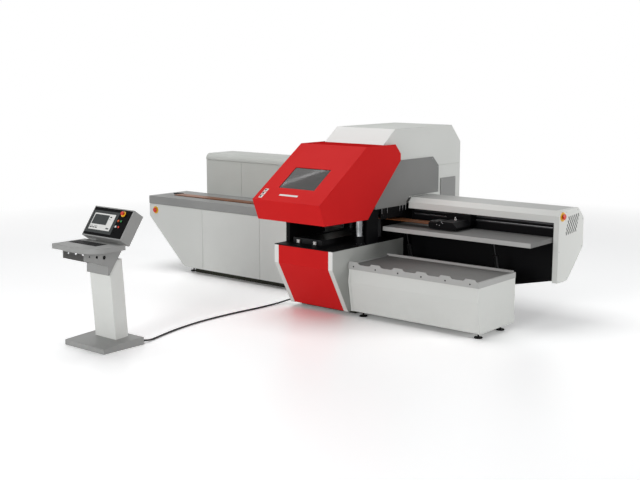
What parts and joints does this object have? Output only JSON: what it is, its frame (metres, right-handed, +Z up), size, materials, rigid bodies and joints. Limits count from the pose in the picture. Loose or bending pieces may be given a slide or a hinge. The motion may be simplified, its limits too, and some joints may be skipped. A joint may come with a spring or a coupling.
{
  "type": "busbar processing machine",
  "caption": "Busbar processing machine: bar table, hydraulic punch press under a lifting hood, cantilever feed arm with gripper, output tray and a free-standing console on a cable.",
  "frame": {"origin": "on the floor, at the centre of the plinth under the press", "axes": "+X along the bar from the table to the feed arm, +Y from the operator to the back, +Z up"},
  "size_m": [5.991, 5.113, 2.052],
  "materials": {
    "white_paint": "fine textured powder coat",
    "grey_paint": "satin powder coat",
    "dark_paint": "matt",
    "black_paint": "matt",
    "red_paint": "gloss",
    "machined_steel": "machined",
    "tool_steel": "blackened",
    "chrome_bar": "ground and plated",
    "copper_bar": "drawn copper",
    "window_sheet": "tinted polycarbonate",
    "screen_glass": "dark",
    "curtain_sheet": "black rubber strip",
    "white_plastic": "moulded",
    "black_plastic": "moulded",
    "orange_plastic": "moulded",
    "green_plastic": "moulded",
    "red_plastic": "moulded",
    "yellow_plastic": "moulded",
    "cable_sheath": "matt"
  },
  "bodies": {
    "machine": {"plinths": "dark_paint", "press_base": "white_paint", "press_panel": "red_paint", "bolster": "black_paint", "press_frame": "black_paint", "guide_column": "chrome_bar", "die_set": "tool_steel", "hood_pins": "machined_steel", "housing_lower": "white_paint", "housing_upper": "white_paint", "side_covers": "grey_paint", "curtain": "curtain_sheet", "cabinet": "white_paint", "cabinet_panels": "white_paint", "levelling_feet": "black_paint", "table_top": "grey_paint", "end_stop": "black_paint", "rear_cabinet": "white_paint", "arm_beam": "black_paint", "arm_cover": "grey_paint", "end_cap": "white_paint", "feed_rails": "machined_steel", "tray_body": "white_paint", "tray_front": "white_paint", "tray_rim": "grey_paint", "tray_pan": "dark_paint", "console_base": "grey_paint", "console_column": "white_paint", "console_bracket": "grey_paint", "console_shelf": "grey_paint", "keyboard": "black_plastic", "screen_box": "grey_paint", "screen_face": "black_plastic", "display": "screen_glass", "stop_collars": "yellow_plastic", "cable": "cable_sheath", "cable_glands": "black_plastic"},
    "hood": {"hood": "red_paint", "hood_window": "window_sheet"},
    "ram": {"ram_plate": "machined_steel", "punches": "tool_steel"},
    "feed_carriage": {"carriage": "black_paint", "gripper": "black_paint", "busbar": "copper_bar"},
    "jaw": {"gripper_jaw": "tool_steel"},
    "lever": {"gripper_lever": "white_plastic"},
    "drop_plate": {"support_plate": "grey_paint"},
    "lift_tube_a": {"lift_tube_a": "machined_steel"},
    "lift_tube_b": {"lift_tube_b": "machined_steel"},
    "lift_rod_a": {"lift_rod_a": "chrome_bar"},
    "lift_rod_b": {"lift_rod_b": "chrome_bar"},
    "stop_a": {"stop_a": "red_plastic"},
    "stop_b": {"stop_b": "red_plastic"},
    "stop_c": {"stop_c": "red_plastic"},
    "button_a": {"button_a": "orange_plastic"},
    "button_b": {"button_b": "green_plastic"},
    "button_c": {"button_c": "white_plastic"},
    "button_d": {"button_d": "red_plastic"},
    "star_knob_a": {"star_knob_a": "white_plastic"},
    "star_knob_b": {"star_knob_b": "white_plastic"}
  },
  "joints": [
    {"name": "hood_hinge", "type": "hinge", "parent": "machine", "child": "hood", "pos_m": [0, 0.3, 1.78], "axis": [-1, 0, 0], "range_deg": [0, 50]},
    {"name": "ram_slide", "type": "slide", "parent": "machine", "child": "ram", "axis": [0, 0, -1], "range_m": [0, 0.028]},
    {"name": "feed_slide", "type": "slide", "parent": "machine", "child": "feed_carriage", "axis": [1, 0, 0], "range_m": [0, 0.9]},
    {"name": "jaw_slide", "type": "slide", "parent": "feed_carriage", "child": "jaw", "axis": [0, 0, 1], "range_m": [0, 0.012]},
    {"name": "lever_turn", "type": "hinge", "parent": "feed_carriage", "child": "lever", "pos_m": [1.19, 0.47, 1.06], "axis": [0, 0, 1], "range_deg": [-30, 30]},
    {"name": "drop_plate_hinge", "type": "hinge", "parent": "machine", "child": "drop_plate", "pos_m": [0, 0.62, 0.925], "axis": [1, 0, 0], "range_deg": [0, 16]},
    {"name": "lift_tube_a_pivot", "type": "hinge", "parent": "machine", "child": "lift_tube_a", "pos_m": [0.62, 0.445, 0.5], "axis": [1, 0, 0], "range_deg": [-0.5, 0.5]},
    {"name": "lift_tube_b_pivot", "type": "hinge", "parent": "machine", "child": "lift_tube_b", "pos_m": [1.77, 0.445, 0.5], "axis": [1, 0, 0], "range_deg": [-0.5, 0.5]},
    {"name": "lift_rod_a_slide", "type": "slide", "parent": "lift_tube_a", "child": "lift_rod_a", "axis": [0, -0.2953, 0.9554], "range_m": [-0.085, 0]},
    {"name": "lift_rod_b_slide", "type": "slide", "parent": "lift_tube_b", "child": "lift_rod_b", "axis": [0, -0.2953, 0.9554], "range_m": [-0.085, 0]},
    {"name": "stop_a_push", "type": "slide", "parent": "machine", "child": "stop_a", "axis": [0, 1, 0], "range_m": [0, 0.005], "stiffness_N_per_m": 1500, "springref_m": -0.002},
    {"name": "stop_b_push", "type": "slide", "parent": "machine", "child": "stop_b", "axis": [-1, 0, 0], "range_m": [0, 0.005], "stiffness_N_per_m": 1500, "springref_m": -0.002},
    {"name": "stop_c_push", "type": "slide", "parent": "machine", "child": "stop_c", "axis": [0, 0.8221, -0.5693], "range_m": [0, 0.005], "stiffness_N_per_m": 1500, "springref_m": -0.002},
    {"name": "button_a_push", "type": "slide", "parent": "machine", "child": "button_a", "axis": [0, 0.8221, -0.5693], "range_m": [0, 0.004], "stiffness_N_per_m": 600, "springref_m": -0.002},
    {"name": "button_b_push", "type": "slide", "parent": "machine", "child": "button_b", "axis": [0, 0.8221, -0.5693], "range_m": [0, 0.004], "stiffness_N_per_m": 600, "springref_m": -0.002},
    {"name": "button_c_push", "type": "slide", "parent": "machine", "child": "button_c", "axis": [0, 0.8221, -0.5693], "range_m": [0, 0.004], "stiffness_N_per_m": 600, "springref_m": -0.002},
    {"name": "button_d_push", "type": "slide", "parent": "machine", "child": "button_d", "axis": [0, 0.8221, -0.5693], "range_m": [0, 0.004], "stiffness_N_per_m": 600, "springref_m": -0.002},
    {"name": "star_knob_a_turn", "type": "hinge", "parent": "machine", "child": "star_knob_a", "pos_m": [-0.223, -0.59, 0.799], "axis": [0, 1, 0], "continuous": true},
    {"name": "star_knob_b_turn", "type": "hinge", "parent": "machine", "child": "star_knob_b", "pos_m": [0.019, -0.59, 0.799], "axis": [0, 1, 0], "continuous": true}
  ],
  "couplings": [
    {"joint": "lift_tube_a_pivot", "follows": "drop_plate_hinge", "ratio": 0.00985},
    {"joint": "lift_tube_b_pivot", "follows": "drop_plate_hinge", "ratio": 0.00985},
    {"joint": "lift_rod_a_slide", "follows": "drop_plate_hinge", "m_per_rad": -0.29406},
    {"joint": "lift_rod_b_slide", "follows": "drop_plate_hinge", "m_per_rad": -0.29406}
  ]
}
